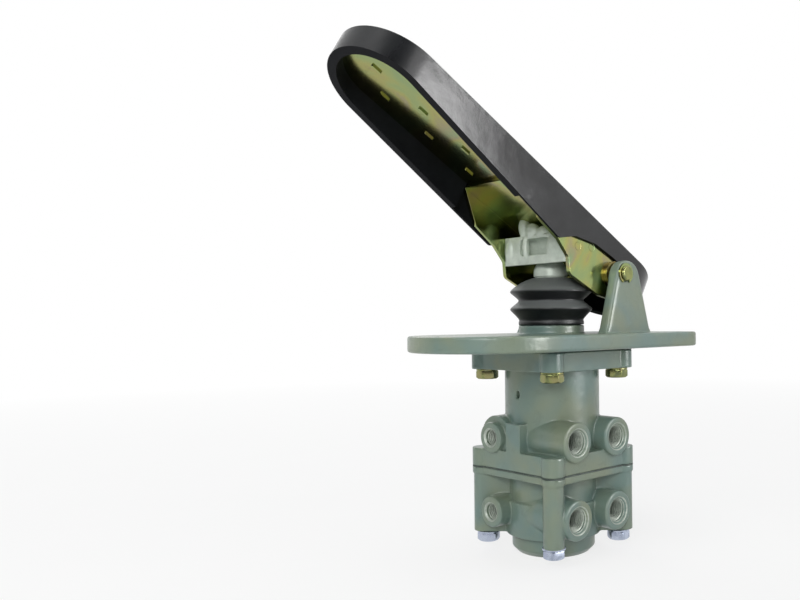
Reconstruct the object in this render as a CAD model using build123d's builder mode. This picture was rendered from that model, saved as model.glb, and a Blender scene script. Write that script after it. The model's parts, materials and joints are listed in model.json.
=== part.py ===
from build123d import *
import os
from math import cos, radians, sin, tan

os.makedirs("parts", exist_ok=True)

# A foot brake valve with its treadle pedal, in millimetres, +Z up. The origin lies on the valve's axis, in
# the underside of the mounting plate. +X runs to the plate's round toe end, with the pedal's toe above it.

# How far a cutting shape runs past the surface it opens
past = 1

# Mounting plate
plate_length = 205
plate_width = 105
plate_thick = 10
plate_corner_r = 12.5
plate_edge_r = 1.5
heel_hole_x = -88
heel_hole_pitch = 80
toe_hole_x = 92
fixing_hole_d = 9
heel_end_x = heel_hole_x - plate_corner_r
toe_end_x = heel_end_x + plate_length

# Neck that carries the boot
neck_r = 22
neck_top = plate_thick + 5.5
spigot_r = 19.5
spigot_height = 4.5
boot_groove_depth = 1
boot_groove_width = 2
boot_groove_rise = 1
spigot_top = neck_top + spigot_height

# Hinge of the pedal
pivot_x = -26
pivot_height = 39.2
pivot_z = plate_thick + pivot_height
pin_d = 10
pin_overhang = 2.7
pin_chamfer = 0.8
ear_thick = 8.75
ear_base_length = 47.7
ear_middle_x = pivot_x - 4.25
ear_top_r = 12
ear_above_pivot = 9
ear_edge_r = 2
running_gap = 0.05
clip_thick = 0.9
clip_outer_r = 6.8
clip_mouth = 6
clip_from_ear = 0.1
clip_slack = 0.05
clip_bore_gap = 0.1
clip_groove_depth = 0.8
bush_r = 7
bush_flange_r = 8.2
bush_end_gap = 0.35
bush_inner_reach = 2

# Pedal, in its own plane through the pivot: u runs along the tread to the toe, w stands square to it
pedal_angle = 30
tread_height = 21.6
pedal_half_width = 33.75
heel_u = -52.8
toe_u = 217.8
rubber_top = 4.5
tread_groove_depth = 1.5
toe_skirt = 14.5
heel_skirt_w = -2.4
rim_slope = 5.3
skirt_margin = 5
skirt_spare = 2
rim_wall = 5.5
cheek_wall = 1.8
cheek_end_gap = 0.5
pan_thick = 2.5
pan_grip = 1.4
bracket_thick = 3
cheek_gap = 0.35
ear_gap = 0.6
cheek_outer = pedal_half_width - cheek_wall - cheek_gap
cheek_inner = cheek_outer - bracket_thick
ear_inner = pedal_half_width + ear_gap
ear_outer = ear_inner + ear_thick
cheek_front_u = 94
cheek_back_u = -24
pan_top = tread_height - rubber_top
pan_under = pan_top - pan_thick
web_under = pan_under - bracket_thick

# Valve body
gasket_thick = 1.5
seat_recess = 0.5
seat_margin = 2
flange_side = 75
flange_corner_r = 6
flange_thick = 12
bolt_circle_r = 43.3
lug_width = 14.5
lug_length = 20.6
cylinder_r = 31.5
parting_z = -77
upper_base_thick = 12
upper_base_top = parting_z + upper_base_thick
body_gasket_thick = 0.8
lower_flange_thick = 4.5
waist_r = 29
drum_r = 31.5
drum_above_ports = 6.5
drum_below_ports = 15.6
columns_below_ports = 15.3
tail_r = 27.5
tail_length = 12.2
tail_chamfer = 3.5
column_inner_r = 24
column_setback = 0.8
column_side_inset = 0.75
cast_edge_r = 1
cast_overlap = 1
flange_top = seat_recess - gasket_thick
flange_bottom = flange_top - flange_thick
column_width = lug_width - 2 * column_side_inset
column_outer_r = bolt_circle_r + lug_length / 2 - column_setback
lower_top = parting_z - body_gasket_thick

# Ports
port_offset = 18.7
port_face = 41
port_boss_r = 12.5
port_r = 7.25
port_chamfer = 1.5
port_thread = 16
port_drill_r = 6
small_port_offset = -17.5
small_port_face = 40
small_boss_r = 10
small_collar_r = 14
small_collar_face = 35
small_port_r = 5.25
small_chamfer = 0.8
small_thread = 13
small_drill_r = 4.4
upper_port_above_base = 8
lower_port_depth = 27.2
upper_port_z = upper_base_top + upper_port_above_base
lower_port_z = lower_top - lower_port_depth
drum_top = lower_port_z + drum_above_ports
drum_bottom = lower_port_z - drum_below_ports
column_bottom = lower_port_z - columns_below_ports
tail_bottom = drum_bottom - tail_length
passage_r = 2.4
pad_height = 18
pad_width = 13
pad_middle_y = 1.5
vent_z = -28.9
vent_length = 5
vent_width = 3
vent_past_wall = 4

# How near the axis each port's drilling ends, and where upright drillings meet the ports
upper_toe_drill_end = 2
upper_heel_drill_end = 14
upper_small_drill_end = 14
lower_toe_drill_end = 0
lower_heel_drill_end = 12
lower_small_drill_end = 13
upper_passages = [(-16, 15.5), (15.8, small_port_offset + 1.7)]
lower_passages = [(-14.5, 14), (14, small_port_offset + 2.5)]

# Bolts
bolt_d = 8
bolt_across_flats = 13
bolt_head = 5.3
bolt_hole_r = 4.4
thread_hole_r = 4.05
washer_r = 7.4
washer_thick = 1.4
flange_bolt_in_plate = 7
body_bolt_in_flange = 9.5
bolt_hole_spare = 1
bolt_end_chamfer = 0.8
bolt_head_chamfer = 0.6

# Plunger and guide
plunger_r = 11.5
plunger_top = 59
plunger_round = 8
boot_seat_z = 46.4
boot_seat_width = 1.6
boot_seat_depth = 1
guide_wall = 3.4
guide_bottom = 1.5
guide_gap = 0.08
guide_top_gap = 0.5
cup_r = 20
cup_thick = 3
cup_rim = 2.4
cup_gap = 0.4
cup_edge_r = 1
foot_step = 1.5
cup_top = -cup_gap

# Pressure bridge and roller
bridge_front_x = 15.5
bridge_back_x = -14
bridge_front_top = 75
bridge_lip_bottom = 56
bridge_bottom = 60.6
bridge_lip_thick = 3
bridge_pocket_depth = 7
bridge_pocket_half = 14
bridge_pocket_bottom = 62
bridge_pocket_top = 73
bridge_pocket_r = 3.5
bridge_side_gap = 0.1
bridge_web_gap = 0.3
bridge_top_front_x = -5
roller_x = -1.9
roller_r = 6
roller_width = 12
roller_gap = 0.3
roller_pin_r = 3
roller_pin_half = 13
roller_pin_chamfer = 0.5
roller_chamfer = 0.4
roller_side_gap = 0.5
roller_slot_r = roller_r + 1
roller_z = plunger_top + roller_gap + roller_r
rivet_r = 2.5
rivet_depth = 9

# Boot
boot_wall = 1.8
boot_peak_wall = 1.4 * boot_wall
boot_valley_wall = 1.2 * boot_wall
boot_bottom_r = 21.6
boot_cuff_top = 20
boot_peak_r = 27.8
boot_valley_r = 21.6
boot_low_peak = 26.5
boot_valley = 32
boot_high_peak = 37.8
boot_top = 47.2
boot_neck_r = 13

# Upper circuit
upper_bore_r = 25
upper_floor_above_base = 18
upper_floor = upper_base_top + upper_floor_above_base
seat_web = 3.5
seat_r = 8
exhaust_gap = 1.5
valve_gap = 0.3
primary_above_floor = 15.5
primary_top = upper_floor + primary_above_floor
primary_thick = 8.5
piston_gap = 0.08
piston_stem_r = 5
piston_bore_r = 3
ring_groove_width = 3
ring_groove_depth = 2.6
ring_squeeze = 0.1
spring_recess = 3
spring_recess_inner = 12
spring_recess_outer = 20
inlet_chamber_r = 15
disc_r = 11
disc_thick = 3
valve_stem_r = 5.5
valve_stem_bore_r = 3
valve_guide_flange_r = 19.9
valve_guide_thick = 3
valve_guide_boss = 3
valve_guide_above_parting = 8.6
valve_guide_top = parting_z + valve_guide_above_parting
guide_boss_gap = 0.2
bore_gap = 0.1
circlip_thick = 1.2
circlip_slack = 0.2
circlip_gap = 0.1
circlip_mouth = 6
circlip_width = 3
circlip_bite = 1
primary_stem_above_parting = 3.5
primary_stem_bottom = parting_z + primary_stem_above_parting

# Lower circuit
relay_bore_r = 23
relay_drop = 2.7
relay_floor_drop = 17.7
relay_top = lower_top - relay_drop
relay_floor = lower_top - relay_floor_drop
relay_thick = 6.5
relay_recess = 2.5
relay_recess_outer = 18
outlet_chamber_r = 13.5
outlet_below_ports = 12
outlet_chamber_bottom = lower_port_z - outlet_below_ports
exhaust_bore_r = 20
exhaust_boss = 4
exhaust_guide_flange = 6
exhaust_groove_drop = 1.4
exhaust_cavity_r = 12
exhaust_cavity_depth = 1.6
secondary_disc_r = 10.5
secondary_stem_drop = 3
secondary_stem_bottom = outlet_chamber_bottom - secondary_stem_drop
exhaust_plate_thick = 1.5
exhaust_hole_r = 2.2
exhaust_hole_circle_r = 8
exhaust_hole_count = 8
flap_r = 13
flap_thick = 1.5
flap_screw_r = 2
flap_head_r = 4.5
flap_head = 2.4
flap_head_round = 1.2
flap_screw_end = 0.8
exhaust_boss_top = outlet_chamber_bottom + exhaust_boss
exhaust_guide_bottom = outlet_chamber_bottom - exhaust_guide_flange

# Springs
graduating_wire = 4
graduating_r = 14
graduating_turns = 4
valve_wire = 1.2
valve_spring_r = 7.6
valve_spring_turns = 5
return_wire = 1.5
return_turns = 3
spring_end_gap = 0.15


def pedal_plane(offset_y=0):
    """The side plane of the pedal: its x is u, along the tread, and its y is w, square to it."""
    angle = radians(pedal_angle)
    along = (cos(angle), 0, sin(angle))
    return Plane(origin=(pivot_x, offset_y, pivot_z), x_dir=along, z_dir=(0, -1, 0))


def tread_plane(height):
    """A plane parallel to the tread, at this height above the pivot, square to the tread."""
    angle = radians(pedal_angle)
    along = (cos(angle), 0, sin(angle))
    up = (-sin(angle), 0, cos(angle))
    origin = (pivot_x + height * up[0], 0, pivot_z + height * up[2])
    return Plane(origin=origin, x_dir=along, z_dir=up)


def to_pedal(x, z):
    """Where a point of the rest position lies in the pedal's side plane."""
    angle = radians(pedal_angle)
    dx = x - pivot_x
    dz = z - pivot_z
    return dx * cos(angle) + dz * sin(angle), -dx * sin(angle) + dz * cos(angle)


def save(shape, name):
    """Label a finished piece and write it under its own name."""
    shape.label = name
    export_step(shape, f"parts/{name}.step")


def rim_w(u):
    """Height of the skirt's lower rim at a place along the pedal."""
    return tread_height - toe_skirt - (toe_u - u) * tan(radians(rim_slope))


def coil(name, low, high, mean_r, wire, turns):
    """A coil spring about the valve's axis that fills the space between two levels."""
    start = low + wire / 2 + spring_end_gap
    rise = high - low - wire - 2 * spring_end_gap
    with BuildPart() as spring:
        with BuildLine() as path:
            Helix(pitch=rise / turns, height=rise, radius=mean_r, center=(0, 0, start))
        with BuildSketch(path.line ^ 0):
            Circle(wire / 2)
        sweep(is_frenet=True)
    save(spring.part, name)


# Lanced tabs under the pan
tab_rows = (16, 0, -16)
tab_first_u = 104
tab_pitch = 36
tab_count = 3
tab_length = 7
tab_width = 1.6
tab_height = 1

# Grooves of the tread: straight ribs under the heel, chevrons towards the toe
rib_count = 11
rib_pitch = 5.4
rib_width = 2.6
rib_middle_u = -6
rib_length = 74
rib_taper = 3
chevron_count = 15
chevron_first_u = 46
chevron_pitch = 10.7
chevron_length = 30
chevron_width = 3
chevron_middle_y = 14
chevron_angle = 40

# Rows and outlines worked out from the sizes above
clip_middle = ear_outer + clip_from_ear + clip_thick / 2
bush_flange = ear_inner - cheek_outer - bush_end_gap
lug_end_r = bolt_circle_r + lug_length / 2 - lug_width / 2
seat_side = 2 * lug_end_r * cos(radians(45)) + lug_width + 2 * seat_margin
pan_edge = rim_wall - pan_grip
skirt_lowest = rim_w(heel_u) - skirt_spare
skirt_clear = skirt_lowest - skirt_margin
skirt_cut = [
    (toe_u + skirt_margin, rim_w(toe_u + skirt_margin)),
    (55.4, rim_w(55.4)),
    (43.4, 1.2),
    (25, 7.3),
    (6.3, 8.9),
    (-14, 8.9),
    (-20, heel_skirt_w),
    (heel_u - skirt_margin, heel_skirt_w),
    (heel_u - skirt_margin, skirt_clear),
    (toe_u + skirt_margin, skirt_clear),
]
arch_vertices = (1, 2, 3, 4, 5, 6)
arch_round = 4
lobe_vertices = (2, 3, 4, 5)
lobe_round = 4
rivet_places = [(-6, 66), (7, 66)]
bridge_slope = tan(radians(pedal_angle))
web_at_pivot = pivot_z + web_under / cos(radians(pedal_angle))
bridge_top_back = web_at_pivot + (bridge_back_x - pivot_x) * bridge_slope - bridge_web_gap
bridge_top_front = web_at_pivot + (bridge_top_front_x - pivot_x) * bridge_slope - bridge_web_gap
bridge_points = [
    (bridge_back_x, bridge_bottom),
    (bridge_front_x - bridge_lip_thick, bridge_bottom),
    (bridge_front_x - bridge_lip_thick, bridge_lip_bottom),
    (bridge_front_x, bridge_lip_bottom),
    (bridge_front_x, bridge_front_top),
    (bridge_top_front_x, bridge_top_front),
    (bridge_back_x, bridge_top_back),
]
boot_outer_points = [
    (boot_bottom_r, neck_top),
    (boot_bottom_r, boot_cuff_top),
    (boot_peak_r, boot_low_peak),
    (boot_valley_r, boot_valley),
    (boot_peak_r, boot_high_peak),
    (boot_neck_r, boot_top),
]
boot_inner_points = [
    (spigot_r + running_gap, neck_top),
    (spigot_r + running_gap, boot_cuff_top),
    (boot_peak_r - boot_peak_wall, boot_low_peak),
    (boot_valley_r - boot_valley_wall, boot_valley),
    (boot_peak_r - boot_peak_wall, boot_high_peak),
    (plunger_r + running_gap, boot_top - boot_wall),
    (plunger_r + running_gap, boot_top),
]
primary_disc_top = upper_floor - seat_web - valve_gap
secondary_disc_top = relay_floor - seat_web - valve_gap
guide_flange_top = valve_guide_top - valve_guide_boss
guide_flange_bottom = guide_flange_top - valve_guide_thick
exhaust_plate_bottom = exhaust_guide_bottom - exhaust_plate_thick
exhaust_groove_top = outlet_chamber_bottom - exhaust_groove_drop

# Outline shared by the flanges: a square with a lug at each bolt
with BuildSketch() as flange_outline:
    RectangleRounded(flange_side, flange_side, flange_corner_r)
    with PolarLocations(bolt_circle_r, 4, start_angle=45):
        SlotOverall(lug_length, lug_width)

bolt_places = PolarLocations(bolt_circle_r, 4, start_angle=45)

# Mounting plate: square heel end, round toe end, two ears and the neck
with BuildPart() as mounting_plate:
    with BuildSketch():
        with Locations((toe_end_x - plate_width / 2, 0)):
            Circle(plate_width / 2)
        corner_y = plate_width / 2 - plate_corner_r
        with Locations((heel_hole_x, corner_y), (heel_hole_x, -corner_y)):
            Circle(plate_corner_r)
        make_hull()
    extrude(amount=plate_thick)
    fillet(mounting_plate.faces().filter_by(Axis.Z).edges(), plate_edge_r)
    with BuildSketch(Plane.XZ.offset(-ear_outer)):
        with Locations((ear_middle_x, pivot_z + ear_above_pivot - ear_top_r)):
            Circle(ear_top_r)
        with Locations((ear_middle_x, plate_thick / 2)):
            Rectangle(ear_base_length, plate_thick / 2)
        make_hull()
    ear = extrude(amount=ear_thick)
    mirror(ear, about=Plane.XZ)
    side_faces = mounting_plate.faces().filter_by(Axis.Y)
    ear_faces = side_faces.filter_by(lambda f: f.center().Z > plate_thick)
    fillet(ear_faces.edges().filter_by(lambda e: e.center().Z > plate_thick + past), ear_edge_r)
    with BuildSketch(Plane.XY.offset(plate_thick)):
        Circle(neck_r)
    extrude(amount=neck_top - plate_thick)
    with BuildSketch(Plane.XY.offset(neck_top)):
        Circle(spigot_r)
    extrude(amount=spigot_height)
    with BuildSketch(Plane.XY.offset(neck_top + boot_groove_rise)):
        Circle(spigot_r)
        Circle(spigot_r - boot_groove_depth, mode=Mode.SUBTRACT)
    extrude(amount=boot_groove_width, mode=Mode.SUBTRACT)
    with BuildSketch():
        Circle(plunger_r + guide_gap + guide_wall)
    extrude(amount=spigot_top, mode=Mode.SUBTRACT)
    with BuildSketch():
        half_pitch = heel_hole_pitch / 2
        with Locations((heel_hole_x, half_pitch), (heel_hole_x, -half_pitch), (toe_hole_x, 0)):
            Circle(fixing_hole_d / 2)
    extrude(amount=plate_thick, mode=Mode.SUBTRACT)
    with BuildSketch():
        RectangleRounded(seat_side, seat_side, flange_corner_r)
    extrude(amount=seat_recess, mode=Mode.SUBTRACT)
    with BuildSketch():
        with bolt_places:
            Circle(thread_hole_r)
    extrude(amount=flange_bolt_in_plate + bolt_hole_spare, mode=Mode.SUBTRACT)
    with BuildSketch(Plane.XZ.offset(-ear_outer)):
        with Locations((pivot_x, pivot_z)):
            Circle(pin_d / 2 + running_gap)
    extrude(amount=2 * ear_outer, mode=Mode.SUBTRACT)
save(mounting_plate.part, "mounting_plate")

# Bush in the neck that guides the plunger
with BuildPart() as plunger_guide:
    with BuildSketch(Plane.XY.offset(guide_bottom)):
        Circle(plunger_r + guide_gap + guide_wall - running_gap)
        Circle(plunger_r + guide_gap, mode=Mode.SUBTRACT)
    extrude(amount=spigot_top - guide_bottom - guide_top_gap)
save(plunger_guide.part, "plunger_guide")

# Hinge pin with a groove for a ring at each end
with BuildPart() as hinge_pin:
    with BuildSketch(Plane.XZ.offset(-ear_outer - pin_overhang)):
        with Locations((pivot_x, pivot_z)):
            Circle(pin_d / 2)
    extrude(amount=2 * (ear_outer + pin_overhang))
    chamfer(hinge_pin.edges().filter_by(GeomType.CIRCLE), pin_chamfer)
    for side in (1, -1):
        with BuildSketch(Plane.XZ.offset(-side * clip_middle - clip_thick / 2 - clip_slack)):
            with Locations((pivot_x, pivot_z)):
                Circle(pin_d / 2 + past)
                Circle(pin_d / 2 - clip_groove_depth, mode=Mode.SUBTRACT)
        extrude(amount=clip_thick + 2 * clip_slack, mode=Mode.SUBTRACT)
save(hinge_pin.part, "hinge_pin")

# Retaining rings in the hinge pin's grooves, open at the bottom
with BuildPart() as pin_clips:
    for side in (1, -1):
        with BuildSketch(Plane.XZ.offset(-side * clip_middle - clip_thick / 2)):
            with Locations((pivot_x, pivot_z)):
                Circle(clip_outer_r)
                Circle(pin_d / 2 - clip_groove_depth + clip_bore_gap, mode=Mode.SUBTRACT)
            with Locations((pivot_x, pivot_z - clip_outer_r / 2)):
                Rectangle(clip_mouth, clip_outer_r, mode=Mode.SUBTRACT)
        extrude(amount=clip_thick)
save(pin_clips.part, "pin_clips")

# Flanged bushes pressed into the cheeks, turning on the hinge pin
with BuildPart() as pivot_bushes:
    with BuildSketch(Plane.XZ.offset(-cheek_outer - bush_flange)):
        with Locations((pivot_x, pivot_z)):
            Circle(bush_flange_r)
            Circle(pin_d / 2 + running_gap, mode=Mode.SUBTRACT)
    extrude(amount=bush_flange)
    with BuildSketch(Plane.XZ.offset(-cheek_outer)):
        with Locations((pivot_x, pivot_z)):
            Circle(bush_r)
            Circle(pin_d / 2 + running_gap, mode=Mode.SUBTRACT)
    extrude(amount=bracket_thick + bush_inner_reach)
    mirror(about=Plane.XZ)
save(pivot_bushes.part, "pivot_bushes")

# Zinc plated channel: a web under the pan and two cheeks down to the hinge pin
cheek_points = [
    (cheek_back_u, web_under),
    (cheek_back_u, -4),
    (-15, -13),
    (4, -18.9),
    to_pedal(14.6, 48.4),
    to_pedal(15.6, 59),
    (54, rim_w(54) + 0.5),
    (74, rim_w(74) + 1),
    (cheek_front_u, web_under),
]
with BuildPart() as hinge_bracket:
    with BuildSketch(pedal_plane(cheek_outer)) as cheek_outline:
        with BuildLine():
            Polyline(*cheek_points, close=True)
        make_face()
        corners = cheek_outline.vertices()
        fillet([corners.sort_by_distance(cheek_points[i])[0] for i in lobe_vertices], lobe_round)
    cheek = extrude(amount=bracket_thick)
    mirror(cheek, about=Plane.XZ)
    with BuildSketch(tread_plane(web_under)):
        with Locations(((cheek_front_u + cheek_back_u) / 2, 0)):
            Rectangle(cheek_front_u - cheek_back_u, 2 * cheek_outer)
    extrude(amount=bracket_thick)
    with BuildSketch(Plane.XZ.offset(-cheek_outer)):
        with Locations((pivot_x, pivot_z)):
            Circle(bush_r + running_gap)
    extrude(amount=2 * cheek_outer, mode=Mode.SUBTRACT)
    with BuildSketch(Plane.XZ.offset(-cheek_outer)):
        with Locations(*rivet_places):
            Circle(rivet_r + running_gap)
    extrude(amount=2 * cheek_outer, mode=Mode.SUBTRACT)
save(hinge_bracket.part, "hinge_bracket")

# Zinc plated pan under the tread, its edge gripped by the rubber, with lanced tabs below
with BuildPart() as pedal_pan:
    with BuildSketch(tread_plane(pan_under)):
        with Locations(((heel_u + toe_u) / 2, 0)):
            SlotOverall(toe_u - heel_u - 2 * pan_edge, 2 * (pedal_half_width - pan_edge))
    extrude(amount=pan_thick)
    with BuildSketch(tread_plane(pan_under - tab_height)):
        for row, row_y in enumerate(tab_rows):
            first = tab_first_u + tab_pitch * (row % 2) / 2
            with Locations(*[(first + tab_pitch * i, row_y) for i in range(tab_count)]):
                SlotOverall(tab_length, tab_width)
    extrude(amount=tab_height)
save(pedal_pan.part, "pedal_pan")

# Rubber cover: tread on top, a skirt all round, arched over the hinge, a groove that grips the pan
with BuildPart() as tread_rubber:
    with BuildSketch(tread_plane(skirt_lowest)):
        with Locations(((heel_u + toe_u) / 2, 0)):
            SlotOverall(toe_u - heel_u, 2 * pedal_half_width)
    extrude(amount=tread_height - skirt_lowest)
    with BuildSketch(tread_plane(skirt_lowest)):
        with Locations(((heel_u + toe_u) / 2, 0)):
            SlotOverall(toe_u - heel_u - 2 * rim_wall, 2 * (pedal_half_width - rim_wall))
    extrude(amount=pan_top - skirt_lowest, mode=Mode.SUBTRACT)
    with BuildSketch(tread_plane(pan_under)):
        with Locations(((heel_u + toe_u) / 2, 0)):
            SlotOverall(toe_u - heel_u - 2 * pan_edge, 2 * (pedal_half_width - pan_edge))
    extrude(amount=pan_thick, mode=Mode.SUBTRACT)
    with BuildSketch(tread_plane(skirt_lowest)):
        with Locations(((cheek_front_u + cheek_back_u) / 2, 0)):
            Rectangle(cheek_front_u - cheek_back_u + 2 * cheek_end_gap, 2 * (pedal_half_width - cheek_wall))
    extrude(amount=pan_under - skirt_lowest, mode=Mode.SUBTRACT)
    with BuildSketch(pedal_plane(pedal_half_width + past)) as below_rim:
        with BuildLine():
            Polyline(*skirt_cut, close=True)
        make_face()
        corners = below_rim.vertices()
        fillet([corners.sort_by_distance(skirt_cut[i])[0] for i in arch_vertices], arch_round)
    extrude(amount=2 * (pedal_half_width + past), mode=Mode.SUBTRACT)
    with BuildSketch(tread_plane(tread_height)):
        for i in range(rib_count):
            from_middle = i - (rib_count - 1) / 2
            with Locations((rib_middle_u, from_middle * rib_pitch)):
                SlotOverall(rib_length - abs(from_middle) * rib_taper, rib_width)
        for i in range(chevron_count):
            for side in (1, -1):
                middle = (chevron_first_u + chevron_pitch * i, side * chevron_middle_y)
                with Locations(Location(middle, -side * chevron_angle)):
                    SlotOverall(chevron_length, chevron_width)
    extrude(amount=-tread_groove_depth, mode=Mode.SUBTRACT)
save(tread_rubber.part, "tread_rubber")

# Aluminium pressure bridge between the cheeks, slotted for the roller
with BuildPart() as pressure_bridge:
    with BuildSketch(Plane.XZ.offset(-cheek_inner + bridge_side_gap)) as bridge_outline:
        with BuildLine():
            Polyline(*bridge_points, close=True)
        make_face()
    extrude(amount=2 * (cheek_inner - bridge_side_gap))
    with BuildSketch(Plane.YZ.offset(bridge_front_x)):
        with Locations((0, (bridge_pocket_bottom + bridge_pocket_top) / 2)):
            pocket_height = bridge_pocket_top - bridge_pocket_bottom
            RectangleRounded(2 * bridge_pocket_half, pocket_height, bridge_pocket_r)
    extrude(amount=-bridge_pocket_depth, mode=Mode.SUBTRACT)
    with BuildSketch(Plane.XZ.offset(-roller_width / 2 - roller_side_gap)):
        with Locations((roller_x, roller_z)):
            Circle(roller_slot_r)
        with Locations((roller_x, roller_z - roller_slot_r)):
            Rectangle(2 * roller_slot_r, 2 * roller_slot_r)
    extrude(amount=roller_width + 2 * roller_side_gap, mode=Mode.SUBTRACT)
    with BuildSketch(Plane.XZ.offset(-roller_pin_half - running_gap)):
        with Locations((roller_x, roller_z)):
            Circle(roller_pin_r + running_gap)
    extrude(amount=2 * (roller_pin_half + running_gap), mode=Mode.SUBTRACT)
    for side in (1, -1):
        start = cheek_inner - bridge_side_gap
        with BuildSketch(Plane.XZ.offset(-side * start)):
            with Locations(*rivet_places):
                Circle(rivet_r + running_gap)
        extrude(amount=side * (rivet_depth + running_gap), mode=Mode.SUBTRACT)
save(pressure_bridge.part, "pressure_bridge")

# Flush rivets that hold the bridge to the cheeks
with BuildPart() as bridge_rivets:
    with BuildSketch(Plane.XZ.offset(-cheek_outer)):
        with Locations(*rivet_places):
            Circle(rivet_r)
    extrude(amount=bracket_thick + bridge_side_gap + rivet_depth)
    mirror(about=Plane.XZ)
save(bridge_rivets.part, "bridge_rivets")

# Roller and its pin, across the plunger's top
with BuildPart() as roller_pin:
    with BuildSketch(Plane.XZ.offset(-roller_pin_half)):
        with Locations((roller_x, roller_z)):
            Circle(roller_pin_r)
    extrude(amount=2 * roller_pin_half)
    chamfer(roller_pin.edges().filter_by(GeomType.CIRCLE), roller_pin_chamfer)
save(roller_pin.part, "roller_pin")

with BuildPart() as roller:
    with BuildSketch(Plane.XZ.offset(-roller_width / 2)):
        with Locations((roller_x, roller_z)):
            Circle(roller_r)
            Circle(roller_pin_r + running_gap, mode=Mode.SUBTRACT)
    extrude(amount=roller_width)
    chamfer(roller.edges().filter_by(GeomType.CIRCLE), roller_chamfer)
save(roller.part, "roller")

# Plunger: a domed head, the seat of the boot's lip, and a stem down to the spring cup
with BuildPart() as plunger:
    with BuildSketch(Plane.XY.offset(cup_top - cup_thick)):
        Circle(plunger_r)
    extrude(amount=plunger_top - cup_top + cup_thick)
    fillet(plunger.faces().sort_by(Axis.Z)[-1].edges(), plunger_round)
    with BuildSketch(Plane.XY.offset(boot_seat_z)):
        Circle(plunger_r + past)
        Circle(plunger_r - boot_seat_depth, mode=Mode.SUBTRACT)
    extrude(amount=boot_seat_width, mode=Mode.SUBTRACT)
    with BuildSketch(Plane.XY.offset(cup_top - cup_thick)):
        Circle(plunger_r + past)
        Circle(plunger_r - foot_step, mode=Mode.SUBTRACT)
    extrude(amount=cup_thick, mode=Mode.SUBTRACT)
save(plunger.part, "plunger")

# Steel cup on the plunger's foot, over the graduating spring
with BuildPart() as spring_cup:
    with BuildSketch(Plane.XY.offset(cup_top)):
        Circle(cup_r)
        Circle(plunger_r - foot_step + running_gap, mode=Mode.SUBTRACT)
    extrude(amount=-cup_thick)
    with BuildSketch(Plane.XY.offset(cup_top - cup_thick)):
        Circle(cup_r)
        Circle(cup_r - cup_rim, mode=Mode.SUBTRACT)
    extrude(amount=-cup_thick)
    fillet(spring_cup.edges().group_by(Axis.Z)[-1].sort_by(SortBy.RADIUS)[-1], cup_edge_r)
save(spring_cup.part, "spring_cup")

# Rubber boot between the neck and the plunger
with BuildPart() as boot:
    with BuildSketch(Plane.XZ):
        with BuildLine():
            Polyline(*boot_outer_points, *reversed(boot_inner_points), close=True)
        make_face()
    revolve(axis=Axis.Z)
save(boot.part, "boot")

# Joint under the plate
with BuildPart() as plate_gasket:
    with BuildSketch(Plane.XY.offset(seat_recess)):
        add(flange_outline.sketch)
        Circle(upper_bore_r, mode=Mode.SUBTRACT)
        with bolt_places:
            Circle(bolt_hole_r, mode=Mode.SUBTRACT)
    extrude(amount=-gasket_thick)
save(plate_gasket.part, "plate_gasket")


def large_port(x, z, through_y):
    """Cut a threaded port in the +Y face, and its drilled way in."""
    for length, radius in ((port_thread, port_r), (port_face - through_y, port_drill_r)):
        with BuildSketch(Plane.XZ.offset(-port_face)) as bore:
            with Locations((x, z)):
                Circle(radius)
        extrude(bore.sketch, amount=length, mode=Mode.SUBTRACT)


def small_port(z, through_x):
    """Cut a threaded port in the +X face, and its drilled way in."""
    for length, radius in ((small_thread, small_port_r), (small_port_face - through_x, small_drill_r)):
        with BuildSketch(Plane.YZ.offset(small_port_face)) as bore:
            with Locations((small_port_offset, z)):
                Circle(radius)
        extrude(bore.sketch, amount=-length, mode=Mode.SUBTRACT)


def port_bosses(z):
    """Add the two large bosses and the small one, each back to the valve's axis."""
    with BuildSketch(Plane.XZ.offset(-port_face)) as large:
        with Locations((port_offset, z), (-port_offset, z)):
            Circle(port_boss_r)
    extrude(large.sketch, amount=port_face)
    with BuildSketch(Plane.YZ.offset(small_port_face)) as small:
        with Locations((small_port_offset, z)):
            Circle(small_boss_r)
    extrude(small.sketch, amount=-small_port_face)


def mouth_edges(part, radius):
    """The circles of this radius where the ports open in the two port faces."""
    circles = part.edges().filter_by(GeomType.CIRCLE).filter_by(lambda e: abs(e.radius - radius) < 0.01)
    at_y = circles.filter_by(lambda e: abs(e.center().Y - port_face) < 0.01)
    at_x = circles.filter_by(lambda e: abs(e.center().X - small_port_face) < 0.01)
    return at_y + at_x


def passages(floor, port_z, places):
    """Drill the upright ways from a bore's floor down to the ports below it."""
    with BuildSketch(Plane.XY.offset(floor + past)) as drills:
        with Locations(*places):
            Circle(passage_r)
    extrude(drills.sketch, amount=port_z - floor - past, mode=Mode.SUBTRACT)


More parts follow.
